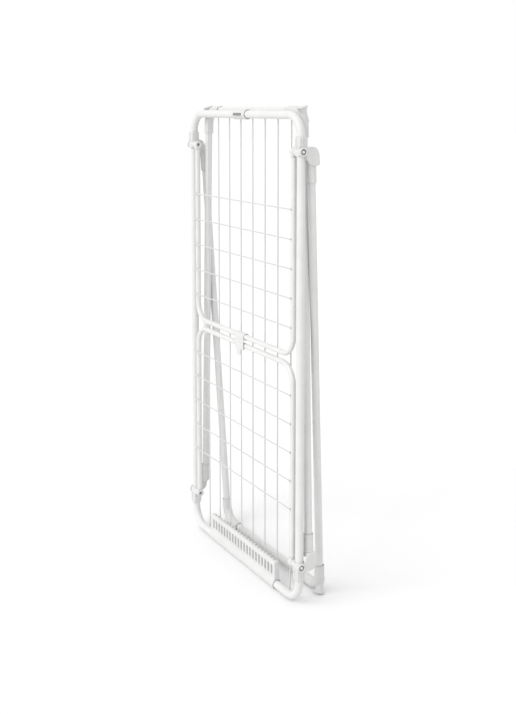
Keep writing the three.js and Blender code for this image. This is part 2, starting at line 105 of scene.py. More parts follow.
class AirerSizes(bpy.types.PropertyGroup):
    """Sizes of the airer's tubes, wires and mouldings"""

    frame_tube: length_setting("Frame tube", "Outside diameter of the main frame's tube", 2 * FRAME_RADIUS)
    frame_bend: length_setting("Frame bend", "Bend radius at the frame tube's centreline", 50)
    leg_tube: length_setting("Leg tube", "Outside diameter of the legs' tubes", 2 * LEG_RADIUS)
    leg_bend: length_setting("Leg bend", "Bend radius at the leg tube's centreline", LEG_BEND)
    wing_tube: length_setting("Wing tube", "Outside diameter of the wings' tubes", 13)
    wing_bend: length_setting("Wing bend", "Bend radius at the wing tube's centreline", 45)
    wire: length_setting("Wire", "Diameter of the deck wires and wing rails", 3.2)
    bead: length_setting("Weld bead", "Half length of the weld beads along the tube", 2.9)
    tube_sides: bpy.props.IntProperty(
        name="Tube sides", description="Faces round each tube", default=32, min=8, max=64
    )
    bend_steps: bpy.props.IntProperty(
        name="Bend steps", description="Points along each quarter bend", default=18, min=4, max=48
    )


class AirerColours(bpy.types.PropertyGroup):
    """Colours of the airer's finishes"""

    coating: colour_setting("Powder coat", "White coating on tubes and wires", (0.65, 0.65, 0.645))
    plastic: colour_setting("Plastic", "White moulded joints and feet", (0.62, 0.62, 0.615))
    rivet: colour_setting("Rivet", "Zinc-plated rivets", (0.78, 0.79, 0.80))
    # The washers' and plugs' dark colour is partly real and partly painted shade for the recesses round the
    # pivots.
    washer: colour_setting("Washer", "Dark washers and plugs at the pivots", (0.16, 0.16, 0.165))
    badge: colour_setting("Badge", "Blank badge on the top bar", (0.20, 0.205, 0.21))


class AirerStage(bpy.types.PropertyGroup):
    """Camera, floor and light"""

    camera_place: bpy.props.FloatVectorProperty(
        name="Camera place", description="Where the camera stands", subtype="XYZ", unit="LENGTH", size=3,
        default=(2.17053, -1.19978, 1.12806),
    )
    camera_turn: bpy.props.FloatProperty(
        name="Camera turn", description="Turn of the view from straight along the depth", subtype="ANGLE",
        default=math.radians(61.0146),
    )
    camera_dip: bpy.props.FloatProperty(
        name="Camera dip", description="How far the view points below the horizon", subtype="ANGLE",
        default=math.radians(6.4943),
    )
    lens: bpy.props.FloatProperty(
        name="Lens", description="Focal length on a 36 mm sensor", default=51.875, min=10, max=200
    )
    rise: bpy.props.FloatProperty(
        name="Lens rise", description="Vertical shift of the lens", default=-0.185, min=-0.4, max=0.4
    )
    floor_reach: bpy.props.FloatProperty(
        name="Floor reach", description="Half the floor's side", default=30.0, unit="LENGTH"
    )
    sky: bpy.props.FloatProperty(
        name="Surround", description="Brightness of the white surround", default=1.0, min=0, max=4
    )
    key: bpy.props.FloatProperty(
        name="Key light", description="Strength of the soft light from the front left", default=1.5,
        min=0, max=20,
    )
    key_place: bpy.props.FloatVectorProperty(
        name="Key place", description="Direction the soft light comes from", subtype="DIRECTION", size=3,
        default=(0.10, -0.88, 0.55),
    )
    key_angle: bpy.props.FloatProperty(
        name="Key angle", description="How wide the soft light looks from the airer", subtype="ANGLE",
        default=math.radians(50),
    )


# ---- Materials -----------------------------------------------------------------------------------


class Level:
    """A shader socket that takes part in arithmetic."""

    def __init__(self, recipe, socket):
        self.recipe = recipe
        self.socket = socket

    def _math(self, operation, first, second):
        return self.recipe.node("ShaderNodeMath", {"operation": operation}, {0: first, 1: second})

    def __add__(self, other):
        return self._math("ADD", self, other)

    __radd__ = __add__

    def __sub__(self, other):
        return self._math("SUBTRACT", self, other)

    def __rsub__(self, other):
        return self._math("SUBTRACT", other, self)

    def __mul__(self, other):
        return self._math("MULTIPLY", self, other)

    __rmul__ = __mul__

    def over(self, low, high):
        """0 below low, 1 above high and a smooth rise between them."""
        settings = {"clamp": True, "interpolation_type": "SMOOTHSTEP"}
        return self.recipe.node("ShaderNodeMapRange", settings, {0: self, 1: low, 2: high, 3: 0.0, 4: 1.0})


class Recipe:
    """One material's nodes, read in object coordinates."""

    def __init__(self, name):
        self.material = bpy.data.materials.new(name)
        self.material.use_nodes = True
        self.material.node_tree.nodes.clear()
        self.place = self.node("ShaderNodeTexCoord", output="Object")

    def node(self, kind, settings=None, inputs=None, output=0):
        """Makes one node: its settings first, then its sockets' values or links."""
        made = self.material.node_tree.nodes.new(kind)
        for name, value in (settings or {}).items():
            setattr(made, name, value)
        for name, value in (inputs or {}).items():
            if isinstance(value, Level):
                self.material.node_tree.links.new(value.socket, made.inputs[name])
            else:
                made.inputs[name].default_value = value
        return Level(self, made.outputs[output]) if made.outputs else made

    def grain(self, size, detail, stretch=(1, 1, 1)):
        """Noise whose lumps are about `size` metres across."""
        place = self.node("ShaderNodeMapping", inputs={"Vector": self.place, "Scale": stretch})
        return self.node("ShaderNodeTexNoise", inputs={"Vector": place, "Scale": 1 / size, "Detail": detail})

    def specks(self, size, spread):
        """1 on sparse round specks up to `spread` of their cell, 0 elsewhere."""
        distance = self.node("ShaderNodeTexVoronoi", inputs={"Vector": self.place, "Scale": 1 / size})
        return 1 - distance.over(spread * 0.5, spread)

    def blend(self, amount, low, high):
        """One colour at 0 and the other at 1."""
        colours = {0: amount, 6: (*low, 1), 7: (*high, 1)}
        return self.node("ShaderNodeMix", {"data_type": "RGBA"}, colours, output=2)

    def bump(self, height, depth, strength):
        return self.node("ShaderNodeBump", inputs={"Height": height, "Distance": depth, "Strength": strength})

    def finish(self, inputs):
        shader = self.node("ShaderNodeBsdfPrincipled", inputs=inputs)
        self.node("ShaderNodeOutputMaterial", inputs={"Surface": shader})
        return self.material


def shade(colour, factor):
    return tuple(min(1.0, channel * factor) for channel in colour)


def powder_coat(name, colour, seed):
    """White polyester powder: a fine orange peel, faint pooling and the odd nib."""
    recipe = Recipe(name)
    peel = recipe.grain(1.7 * MM, 1.5)
    pooling = recipe.grain((38 + seed) * MM, 2.0)
    nibs = recipe.specks(14 * MM, 0.035)
    tone = pooling.over(0.3, 0.7)
    relief = peel * 0.6 + nibs * 0.9
    return recipe.finish(
        {
            "Base Color": recipe.blend(tone, shade(colour, 0.975), shade(colour, 1.02)),
            "Roughness": 0.30 + 0.10 * tone + 0.08 * peel,
            "Specular IOR Level": 0.45,
            "Normal": recipe.bump(relief, 0.05 * MM, 0.5),
        }
    )


def moulded_plastic(name, colour, seed):
    """White polypropylene: a fine spark-eroded texture, flow marks and dulling where it is handled."""
    recipe = Recipe(name)
    texture = recipe.grain(0.55 * MM, 2.0)
    flow = recipe.grain((22 + seed) * MM, 1.0, (1, 1, 0.35))
    handled = recipe.grain(9 * MM, 3.0).over(0.45, 0.75)
    tone = flow.over(0.25, 0.75)
    return recipe.finish(
        {
            "Base Color": recipe.blend(tone, shade(colour, 0.965), shade(colour, 1.02)),
            "Roughness": 0.46 + 0.09 * texture + 0.07 * handled,
            "Specular IOR Level": 0.4,
            "Normal": recipe.bump(texture, 0.06 * MM, 0.45),
        }
    )


def zinc_plate(name, colour):
    """Bright zinc on pressed steel, with tumbling marks."""
    recipe = Recipe(name)
    marks = recipe.grain(0.9 * MM, 3.0, (1, 3, 1))
    cloud = recipe.grain(4 * MM, 2.0)
    return recipe.finish(
        {
            "Base Color": recipe.blend(cloud.over(0.3, 0.7), shade(colour, 0.85), shade(colour, 1.08)),
            "Metallic": 1.0,
            "Roughness": 0.26 + 0.16 * marks,
            "Normal": recipe.bump(marks, 0.03 * MM, 0.5),
        }
    )


def dark_finish(name, colour, roughness):
    """Blackened spring steel or dark printed plastic, slightly uneven. On the pivots' washers and plugs the
    darkness is partly painted shade for their recesses.
    """
    recipe = Recipe(name)
    grain = recipe.grain(1.1 * MM, 3.0)
    cloud = recipe.grain(7 * MM, 2.0)
    return recipe.finish(
        {
            "Base Color": recipe.blend(cloud.over(0.3, 0.7), shade(colour, 0.8), shade(colour, 1.3)),
            "Roughness": roughness + 0.12 * grain,
            "Normal": recipe.bump(grain, 0.03 * MM, 0.4),
        }
    )


def studio_floor():
    recipe = Recipe("studio_floor")
    unevenness = recipe.grain(0.6, 2.0)
    return recipe.finish(
        {
            "Base Color": recipe.blend(unevenness, (0.83, 0.83, 0.83), (0.85, 0.85, 0.85)),
            "Roughness": 0.7 + 0.1 * unevenness,
            "Specular IOR Level": 0.1,
        }
    )


FINISHES = {}


def finish_called(name):
    """Each finish is made once, when a piece first asks for it."""
    if name not in FINISHES:
        colours = bpy.context.scene.airer_colours
        makers = {
            "coating_frame": lambda: powder_coat(name, colours.coating, 0),
            "coating_legs": lambda: powder_coat(name, colours.coating, 6),
            "coating_wings": lambda: powder_coat(name, colours.coating, 11),
            "coating_wires": lambda: powder_coat(name, shade(colours.coating, 0.86), 3),
            "plastic_brackets": lambda: moulded_plastic(name, colours.plastic, 0),
            "plastic_hinges": lambda: moulded_plastic(name, colours.plastic, 5),
            # The feet's plastic is made 2% darker than the other mouldings: painted shade standing for the
            # feet's shaded look.
            "plastic_feet_painted_shade": lambda: moulded_plastic(name, shade(colours.plastic, 0.98), 9),
            "plastic_fittings": lambda: moulded_plastic(name, colours.plastic, 13),
            "zinc_rivets": lambda: zinc_plate(name, colours.rivet),
            "dark_washers_and_painted_shade": lambda: dark_finish(name, colours.washer, 0.42),
            "dark_badge": lambda: dark_finish(name, colours.badge, 0.35),
        }
        FINISHES[name] = makers[name]()
    return FINISHES[name]


# ---- Geometry node trees -------------------------------------------------------------------------


class Tree:
    """A geometry node tree under construction."""

    def __init__(self, name, *inputs):
        """Starts a tree with a geometry, the inputs given as (name, kind, default) and a material."""
        self.group = bpy.data.node_groups.new(name, "GeometryNodeTree")
        for way in ("INPUT", "OUTPUT"):
            self.group.interface.new_socket("Geometry", in_out=way, socket_type="NodeSocketGeometry")
        for label, kind, default in (*inputs, ("Material", "Material", None)):
            item = self.group.interface.new_socket(label, in_out="INPUT", socket_type="NodeSocket" + kind)
            if default is not None:
                item.default_value = default
        self.entry = self.group.nodes.new("NodeGroupInput")

    def given(self, name):
        return self.entry.outputs[name]

    def node(self, kind, settings=None, inputs=None, output=0):
        """Makes one node and returns the output asked for. A list joins several links."""
        made = self.group.nodes.new(kind)
        for name, value in (settings or {}).items():
            setattr(made, name, value)
        for name, value in (inputs or {}).items():
            links = value if isinstance(value, list) else [value]
            for link in links:
                if isinstance(link, bpy.types.NodeSocket):
                    self.group.links.new(link, made.inputs[name])
                else:
                    made.inputs[name].default_value = link
        return made.outputs[output]

    def swept(self, path):
        """A round skin along a curve, closed at its ends."""
        sizes = {"Resolution": self.given("Sides"), "Radius": self.given("Radius")}
        section = self.node("GeometryNodeCurvePrimitiveCircle", {"mode": "RADIUS"}, sizes)
        inputs = {"Curve": path, "Profile Curve": section, "Fill Caps": True}
        return self.node("GeometryNodeCurveToMesh", inputs=inputs)

    def finish(self, geometry):
        """Ends the tree in Realize Instances and Set Material."""
        real = self.node("GeometryNodeRealizeInstances", inputs={"Geometry": geometry})
        painted = self.node(
            "GeometryNodeSetMaterial", inputs={"Geometry": real, "Material": self.given("Material")}
        )
        exit_node = self.group.nodes.new("NodeGroupOutput")
        self.group.links.new(painted, exit_node.inputs[0])
        return self.group


def tube_tree():
    """Bends a run of corners and sweeps a round tube along it."""
    tree = Tree(
        "Bent tube",
        ("Radius", "Float", LEG_RADIUS * MM),
        ("Bend radius", "Float", LEG_BEND * MM),
        ("Bend steps", "Int", 16),
        ("Sides", "Int", 32),
    )
    run = tree.node("GeometryNodeMeshToCurve", inputs={"Mesh": tree.given("Geometry")})
    bent = tree.node(
        "GeometryNodeFilletCurve",
        {"mode": "POLY"},
        {"Curve": run, "Count": tree.given("Bend steps"), "Radius": tree.given("Bend radius")},
    )
    return tree.finish(tree.swept(bent))


def wire_row_tree():
    """Repeats one round-ended wire at a pitch, with a weld bead at each end."""
    tree = Tree(
        "Welded wires",
        ("Count", "Int", 8),
        ("Pitch", "Vector", (0.06, 0, 0)),
        ("Radius", "Float", 1.6 * MM),
        ("Sides", "Int", 16),
        ("First bead", "Vector", None),
        ("Second bead", "Vector", None),
        ("Bead size", "Vector", (3 * MM, 1.5 * MM, 3 * MM)),
    )
    path = tree.node("GeometryNodeMeshToCurve", inputs={"Mesh": tree.given("Geometry")})
    girth = tree.node("GeometryNodeInputNamedAttribute", {"data_type": "FLOAT"}, {"Name": "girth"})
    tapered = tree.node("GeometryNodeSetCurveRadius", inputs={"Curve": path, "Radius": girth})
    wire = tree.swept(tapered)
    ball = tree.node("GeometryNodeMeshUVSphere", inputs={"Segments": 14, "Rings": 9, "Radius": 1.0})
    beads = [
        tree.node(
            "GeometryNodeTransform",
            inputs={"Geometry": ball, "Translation": tree.given(which), "Scale": tree.given("Bead size")},
        )
        for which in ("First bead", "Second bead")
    ]
    one = tree.node("GeometryNodeJoinGeometry", inputs={"Geometry": [wire, *beads]})
    steps = {"Count": tree.given("Count"), "Offset": tree.given("Pitch")}
    row = tree.node("GeometryNodeMeshLine", {"mode": "OFFSET"}, steps)
    return tree.finish(tree.node("GeometryNodeInstanceOnPoints", inputs={"Points": row, "Instance": one}))


def pivot_row_tree():
    """Repeats one left-hand rivet, washer or plug up the side, and turned round on the right."""
    tree = Tree(
        "Pivot hardware",
        ("Count", "Int", 2),
        ("Span", "Vector", (0, 0, 0.9)),
        ("Start", "Vector", None),
    )
    row = tree.node(
        "GeometryNodeMeshLine",
        {"mode": "OFFSET"},
        {"Count": tree.given("Count"), "Start Location": tree.given("Start"), "Offset": tree.given("Span")},
    )
    both = [
        tree.node(
            "GeometryNodeInstanceOnPoints",
            inputs={"Points": row, "Instance": tree.given("Geometry"), "Rotation": (0, 0, turn)},
        )
        for turn in (0.0, math.pi)
    ]
    return tree.finish(tree.node("GeometryNodeJoinGeometry", inputs={"Geometry": both}))


def comb_tree():
    """Repeats the comb's open cell between its two solid ends and welds the seams."""
    tree = Tree("Comb cells", ("Count", "Int", 21), ("Pitch", "Float", 15.2 * MM))
    is_cell = tree.node("GeometryNodeInputNamedAttribute", {"data_type": "BOOLEAN"}, {"Name": "cell"})
    one = tree.node(
        "GeometryNodeSeparateGeometry", inputs={"Geometry": tree.given("Geometry"), "Selection": is_cell}
    )
    ends = one.node.outputs["Inverted"]
    step = tree.node("ShaderNodeCombineXYZ", inputs={"X": tree.given("Pitch")})
    row = tree.node(
        "GeometryNodeMeshLine", {"mode": "OFFSET"}, {"Count": tree.given("Count"), "Offset": step}
    )
    cells = tree.node("GeometryNodeInstanceOnPoints", inputs={"Points": row, "Instance": one})
    real = tree.node("GeometryNodeRealizeInstances", inputs={"Geometry": cells})
    whole = tree.node("GeometryNodeJoinGeometry", inputs={"Geometry": [real, ends]})
    sewn = tree.node("GeometryNodeMergeByDistance", inputs={"Geometry": whole, "Distance": 0.02 * MM})
    return tree.finish(sewn)


def grown(name, mesh, tree, values):
    """Runs a tree over a mesh and returns an object that holds the plain result."""
    thing = bpy.data.objects.new(name, mesh)
    bpy.context.scene.collection.objects.link(thing)
    modifier = thing.modifiers.new("Tree", "NODES")
    modifier.node_group = tree
    sockets = {item.name: item.identifier for item in tree.interface.items_tree if item.in_out == "INPUT"}
    for key, value in values.items():
        modifier[sockets[key]] = value
    bpy.context.view_layer.update()
    evaluated = thing.evaluated_get(bpy.context.evaluated_depsgraph_get())
    plain = bpy.data.meshes.new_from_object(evaluated)
    thing.modifiers.remove(modifier)
    thing.data = plain
    plain.name = name
    smoothed(plain)
    return thing


TUBE_CREASE, MOULDED_CREASE = 38, 60  # degrees


def smoothed(mesh, crease=TUBE_CREASE):
    """Smooth faces, with edges sharper than `crease` degrees kept crisp."""
    mesh.polygons.foreach_set("use_smooth", [True] * len(mesh.polygons))
    mesh.set_sharp_from_angle(angle=math.radians(crease))
    mesh.update()


def polyline(name, corners, closed=False, girths=None):
    mesh = bpy.data.meshes.new(name + "_path")
    edges = [(i, i + 1) for i in range(len(corners) - 1)]
    if closed:
        edges.append((len(corners) - 1, 0))
    mesh.from_pydata([tuple(c) for c in corners], edges, [])
    if girths:
        mesh.attributes.new("girth", "FLOAT", "POINT").data.foreach_set("value", girths)
    return mesh


def round_ended(start, end, radius):
    """A wire's path with the stations and girths of its slightly rounded cut ends."""
    start, end = Vector(start), Vector(end)
    along = (end - start).normalized()
    # Radii from the end, and the share of the full girth there.
    stations = [(0.0, 0.55), (0.12, 0.8), (0.4, 0.96), (0.8, 1.0)]
    points = [start + along * radius * s for s, _ in stations]
    points += [end - along * radius * s for s, _ in reversed(stations)]
    girths = [g for _, g in stations]
    return points, girths + girths[::-1]


# ---- Moulded shapes ------------------------------------------------------------------------------
# Each moulding is a distance field in millimetres: negative inside, positive outside.


def joined(a, b, fillet):
    """Both shapes, with a fillet where they meet."""
    h = np.clip(0.5 + 0.5 * (b - a) / fillet, 0, 1)
    return b + (a - b) * h - fillet * h * (1 - h)


def common(a, b, fillet):
    """What lies in both shapes, with its new edges rounded."""
    return -joined(-a, -b, fillet)


def without(a, b, fillet):
    """The first shape with the second cut out of it."""
    return -joined(-a, b, fillet)


def ball_bar(spot, start, end, radius):
    """A round bar with round ends."""
    start, end = np.array(start, float), np.array(end, float)
    way = end - start
    rel = [spot[i] - start[i] for i in range(3)]
    t = np.clip(sum(rel[i] * way[i] for i in range(3)) / way.dot(way), 0, 1)
    return np.sqrt(sum((rel[i] - way[i] * t) ** 2 for i in range(3))) - radius


def bar(spot, start, end, radius, edge):
    """A round bar with flat ends and eased edges."""
    start, end = np.array(start, float), np.array(end, float)
    length = np.linalg.norm(end - start)
    way = (end - start) / length
    rel = [spot[i] - start[i] for i in range(3)]
    along = sum(rel[i] * way[i] for i in range(3))
    off = np.sqrt(np.maximum(sum(r * r for r in rel) - along**2, 0))
    return common(off - radius, np.abs(along - length / 2) - length / 2, edge)


def brick(spot, low, high, edge):
    """A block between two corners, its edges rounded."""
    gaps = [np.abs(spot[i] - (low[i] + high[i]) / 2) - (high[i] - low[i]) / 2 for i in range(3)]
    return common(common(gaps[0], gaps[1], edge), gaps[2], edge)


def outline(u, v, corners):
    """Signed distance to a flat outline."""
    u, v = np.broadcast_arrays(u, v)
    nearest = np.full(u.shape, np.inf)
    sign = np.ones(u.shape)
    for (ax, ay), (bx, by) in zip(corners, corners[-1:] + corners[:-1]):
        ex, ey, wx, wy = bx - ax, by - ay, u - ax, v - ay
        t = np.clip((wx * ex + wy * ey) / (ex * ex + ey * ey), 0, 1)
        nearest = np.minimum(nearest, (wx - ex * t) ** 2 + (wy - ey * t) ** 2)
        above, below, side = v >= ay, v < by, ex * wy > ey * wx
        flip = (above & below & side) | (~above & ~below & ~side)
        sign = np.where(flip, -sign, sign)
    return sign * np.sqrt(nearest)


def plate(flat, across, low, high, edge):
    """A flat outline given thickness from low to high."""
    return common(flat, np.abs(across - (low + high) / 2) - (high - low) / 2, edge)


def bent_path(spot, points):
    """Distance from a run of straight pieces."""
    return np.minimum.reduce([ball_bar(spot, a, b, 0) for a, b in zip(points, points[1:])])


def quad_curve(start, control, end, steps):
    """Points after the start of a curve that leans towards its control point."""
    ts = [i / steps for i in range(1, steps + 1)]
    return [
        tuple((1 - t) ** 2 * s + 2 * t * (1 - t) * c + t * t * e for s, c, e in zip(start, control, end))
        for t in ts
    ]


DRAWS, REACH, FLATTEST = 4, 0.05, 0.25  # passes on to the surface, probe in steps, least squared slope


def net(distance, low, high, step, open_x=False):
    """Vertices and faces of a field's surface: a surface net drawn on to the field.

    Each grid cell that the surface crosses gets one vertex, at the mean of its edges' crossings, and each
    crossed edge gets one face between the four cells round it. With open_x the skin is left open where the
    box cuts it across x.
    """
    low, high = np.array(low, float), np.array(high, float)
    axes = [np.arange(low[i] - 2 * step, high[i] + 3 * step, step) for i in range(3)]
    if open_x:
        axes[0] = np.arange(low[0], high[0] + step / 2, step)
    spot = np.meshgrid(*axes, indexing="ij", sparse=True)
    field = np.broadcast_to(distance(*spot), [len(a) for a in axes])
    inside = field < 0
    cells = [len(a) - 1 for a in axes]
    total, count = np.zeros((*cells, 3)), np.zeros(cells)
    index = np.arange(np.prod(cells)).reshape(cells)
    quads = []
    for axis in range(3):
        near, far = [slice(None)] * 3, [slice(None)] * 3
        near[axis], far[axis] = slice(0, -1), slice(1, None)
        start, end = field[tuple(near)], field[tuple(far)]
        crossing = inside[tuple(near)] != inside[tuple(far)]
        where = np.argwhere(crossing)
        points = np.stack([axes[i][where[:, i]] for i in range(3)], -1)
        points[:, axis] += start[crossing] / (start[crossing] - end[crossing]) * step
        around, whole = [], np.ones(len(where), bool)
        for back in ((1, 1), (0, 1), (0, 0), (1, 0)):
            cell = where.copy()
            cell[:, (axis + 1) % 3] -= back[0]
            cell[:, (axis + 2) % 3] -= back[1]
            real = np.all((cell >= 0) & (cell < cells), axis=1)
            np.add.at(total, tuple(cell[real].T), points[real])
            np.add.at(count, tuple(cell[real].T), 1)
            around.append(cell)
            whole &= real
        if open_x and axis == 0:
            whole &= where[:, 0] < cells[0] - 1
        loop = np.stack([index[tuple(cell[whole].T)] for cell in around], -1)
        outwards = inside[tuple(near)][tuple(where[whole].T)]
        quads.append(np.where(outwards[:, None], loop, loop[:, ::-1]))
    used, faces = np.unique(np.concatenate(quads), return_inverse=True)
    vertices = total.reshape(-1, 3)[used] / count.reshape(-1)[used][:, None]
    probes = REACH * step * np.eye(3)
    for _ in range(DRAWS):
        rises = [distance(*(vertices + probe).T) - distance(*(vertices - probe).T) for probe in probes]
        slope = np.stack(rises, -1) / (2 * REACH * step)
        size = np.maximum((slope**2).sum(-1), FLATTEST)
        move = np.clip(distance(*vertices.T) / size, -step / 3, step / 3)
        if open_x:
            slope[:, 0] = 0
        vertices = vertices - move[:, None] * slope
    return vertices, faces.reshape(-1, 4)


def mesh_of(name, vertices, faces, place=None):
    """A mesh in metres from millimetre vertices, moved by `place` and kept facing out."""
    corners = vertices * MM
    if place is not None:
        turn = np.array(place)
        corners = corners @ turn[:3, :3].T + turn[:3, 3]
        if place.determinant() < 0:
            faces = faces[:, ::-1]
    mesh = bpy.data.meshes.new(name)
    mesh.from_pydata(corners.tolist(), [], faces.tolist())
    return mesh


def moulding(name, skin, place, finish, body, node):
    """One moulded piece that stands for a CAD node and rides on a body."""
    mesh = mesh_of(name, *skin, place)
    smoothed(mesh, MOULDED_CREASE)
    mesh.materials.append(finish_called(finish))
    thing = bpy.data.objects.new(name, mesh)
    bpy.context.scene.collection.objects.link(thing)
    return placed(thing, body, [node])


# ---- Places --------------------------------------------------------------------------------------
# Plain numbers from here on are millimetres. Mouldings are drawn for the left side and the upper pivot.

SIDE_X = (FRAME_HIGH.x - FRAME_LOW.x) / 2 / MM - FRAME_RADIUS  # side tube's axis from the middle
FRAME_MIDDLE = (FRAME_LOW.y + FRAME_HIGH.y) / 2
TOP_BAR = Vector((0, FRAME_MIDDLE, FRAME_HIGH.z - FRAME_RADIUS * MM)) / MM
BOTTOM_BAR = Vector((0, FRAME_MIDDLE, FRAME_LOW.z + FRAME_RADIUS * MM)) / MM
PIVOT_TO_TUBE = 2.5  # the side tube's axis behind its pivots
FRAME_BORE = 9.75  # inside of what is moulded round the frame's tube
PIN_BORE = 3.3

LEG_DEPTH = 29.0  # leg's plane behind its pivot
LEG_TOP_INSET = 3.0
LEG_FOOT_INSET = 35.7
LEG_TAPER = (LEG_FOOT_INSET - LEG_TOP_INSET) / (UPPER.z / MM)
LEG_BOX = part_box("leg_b_tube")
LEG_LENGTH = (LEG_BOX[1].z - LOWER.z) / MM - LEG_RADIUS
LEG_BORE = 9.3
OPEN_TURN = math.radians(JOINTS["leg_b_hinge"]["range_deg"][1])
FOOT_TILT = OPEN_TURN - math.pi / 2

WING_X = 242.5
WING_LENGTH = (UPPER.z - CLIP_PIVOT.z) / MM
WING_BORE = 6.8
WING_TOP = -12.3  # where the wing's tube starts in its eye

WIRE_COUNT = 8
WIRE_PITCH = 2 * SIDE_X / (WIRE_COUNT + 1)
RAIL_COUNT = 5

LEG_PLACES = {
    "a": Matrix.Translation(UPPER) @ Matrix.Rotation(LEAN, 4, "X"),
    "b": Matrix.Translation(LOWER) @ MIRROR_Z,
}
PIVOT_PLACES = {"upper": Matrix.Translation(UPPER), "lower": Matrix.Translation(LOWER) @ MIRROR_Z}


def leg_x(down):
    return SIDE_X - LEG_TOP_INSET - LEG_TAPER * down


def on_leg(down):
    return (-leg_x(down), LEG_DEPTH, -down)


def sided(place, side):
    return place @ MIRROR_X if side == "right" else place


# ---- Mouldings -----------------------------------------------------------------------------------


COLLAR = 11.8  # outside of the bracket's collar
STOP_GAP = 0.3
CHEEK_OUTER, CHEEK_INNER = -SIDE_X - 14.7, -SIDE_X - 12.1
CHEEK_FRONT, CHEEK_REAR, CHEEK_FOOT = LEG_DEPTH - 11.2, LEG_DEPTH + 11.6, -28.0
EAR = 10.8
SOCKET_FLOOR, SOCKET_END = 31.5, 70.0
TUBE_GAP = 0.3  # between the leg's tube and its socket's floor


def cheek_outline():
    """The hinge's flat side: a round ear, a hollow neck and a broad rounded tail."""
    front, rear, foot = CHEEK_FRONT, CHEEK_REAR, CHEEK_FOOT
    first, neck = (0.6 * EAR, -0.8 * EAR), (1.15 * EAR, -1.85 * EAR)
    corners = [first]
    corners += quad_curve(first, (1.05 * EAR, -1.25 * EAR), neck, 5)
    corners += quad_curve(neck, (front - 4, foot + 1), (front + 2, foot), 5)
    corners += quad_curve((rear - 3.5, foot - 2.6), (rear, foot - 3), (rear, foot + 1), 5)
    corners += quad_curve((rear, -12), (rear, EAR), (rear - 21, EAR), 9)
    turns = [math.pi / 2 + math.pi * 1.2 * i / 16 for i in range(17)]
    corners += [(EAR * math.cos(a), EAR * math.sin(a)) for a in turns]
    return corners


CHEEK = cheek_outline()
BRIDGE = [
    (CHEEK_FRONT - 3, -24), (CHEEK_FRONT + 1, -30), (CHEEK_REAR - 5, -32), (CHEEK_REAR - 1.5, -29),
    (CHEEK_REAR - 1, -20), (CHEEK_FRONT - 3, 0),
]


def hinge_field(x, y, z):
    """Left leg hinge: a flat cheek with a ringed eye, and a round socket for the leg's tube."""
    eye, groove, ring_half, rim, pin = 6.3, 8.4, 1.9, 1.3, 3.2
    socket_radius, mouth_radius, mouth_depth = 11.2, 10.3, 1.8
    spot = (x, y, z)
    off = np.sqrt(y * y + z * z)
    cheek = plate(outline(y, z, CHEEK), x, CHEEK_OUTER, CHEEK_INNER, 1.2)
    bridge = plate(outline(y, z, BRIDGE), x, CHEEK_OUTER + 0.5, on_leg(SOCKET_FLOOR)[0], 1.5)
    socket = bar(spot, on_leg(0), on_leg(SOCKET_END), socket_radius, 0.8)
    body = joined(bridge, socket, 3.5)
    # With the leg open, this flat rests against the bracket's collar.
    stop_offset = COLLAR + STOP_GAP + PIVOT_TO_TUBE
    above_stop = (z * math.sin(OPEN_TURN) - y * math.cos(OPEN_TURN)) + stop_offset
    body = without(body, -above_stop, 1.2)
    shape = joined(body, cheek, 1.6)
    ring = plate(np.abs(off - groove) - ring_half, x, CHEEK_OUTER - rim, CHEEK_INNER, 1.0)
    shape = joined(shape, ring, 0.6)
    shape = without(shape, common(off - eye, x - (CHEEK_OUTER + rim), 0.4), 0.5)
    shape = without(shape, off - pin, 0.3)
    mouth = bar(spot, on_leg(SOCKET_END - mouth_depth), on_leg(2 * SOCKET_END), mouth_radius, 0.2)
    bore = bar(spot, on_leg(SOCKET_FLOOR), on_leg(2 * SOCKET_END), LEG_BORE, 0.2)
    return without(without(shape, mouth, 0.4), bore, 0.5)


def leg_path(start, end_along, steps=14):
    """Points down the left side tube, round the bend and along the foot bar."""
    corner = np.array(on_leg(LEG_LENGTH))
    top = np.array(on_leg(start))
    down = (corner - top) / np.linalg.norm(corner - top)
    across = np.array((1.0, 0.0, 0.0))
    turn = math.acos(float(down @ across))
    reach = LEG_BEND * math.tan(turn / 2)
    first = corner - down * reach
    inward = across - down * float(across @ down)
    inward /= np.linalg.norm(inward)
    centre = first + inward * LEG_BEND
    arc = [
        centre - inward * LEG_BEND * math.cos(turn * i / steps) + down * LEG_BEND * math.sin(turn * i / steps)
        for i in range(steps + 1)
    ]
    return [top, *arc, corner + across * end_along]


# The bell's radius and distance along its axis, from its root inside the sleeve to its rim.
BELL = [(0, 0), (6.8, 0), (6.8, 18), (7.4, 23), (8.8, 28), (10.8, 32), (12.9, 35), (13.4, 36), (0, 36)]
BELL_ROOT = 26  # root above the tube's corner
BELL_REACH = 10  # rim below the tube's corner
SLEEVE_UP, SLEEVE_ALONG = 58, 66  # how far the sleeve covers the leg and the foot bar


